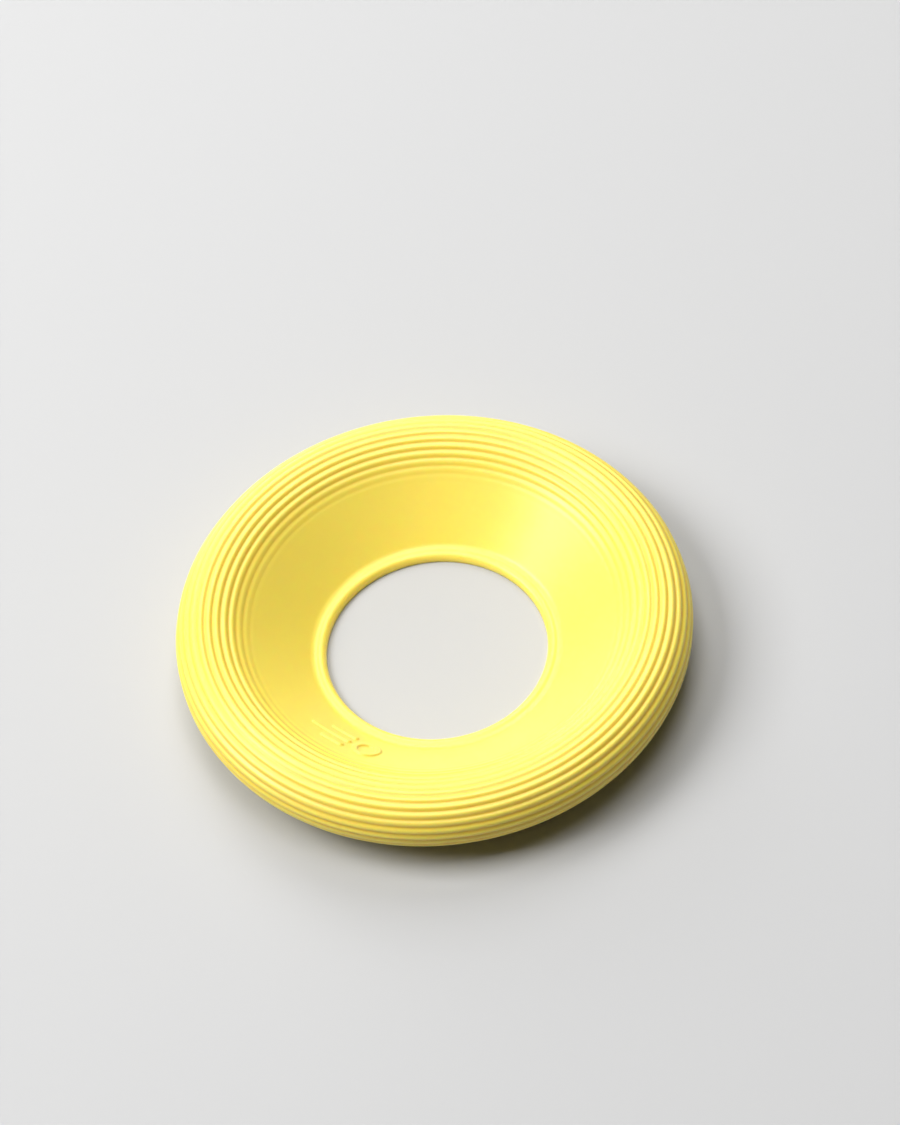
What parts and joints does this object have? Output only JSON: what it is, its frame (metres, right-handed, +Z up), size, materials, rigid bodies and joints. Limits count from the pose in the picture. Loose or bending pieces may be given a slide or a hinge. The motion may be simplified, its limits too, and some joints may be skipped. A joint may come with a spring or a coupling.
{
  "type": "flying ring",
  "caption": "Soft yellow rubber flying ring, moulded in one piece: a hollow rolled rim with concentric grip ribs, a sloping web and a beaded centre hole.",
  "frame": {"origin": "on the ring's axis, in the plane that it rests on", "axes": "+Z up along the ring's axis, from the foot under the hole to the crown of the rim; the raised emblem lies on the web at 230 degrees from +X towards +Y"},
  "size_m": [0.2198, 0.2198, 0.0334],
  "materials": {
    "rubber": "satin moulded soft rubber, lemon yellow"
  },
  "bodies": {
    "root": {"ring": "rubber"}
  },
  "joints": []
}
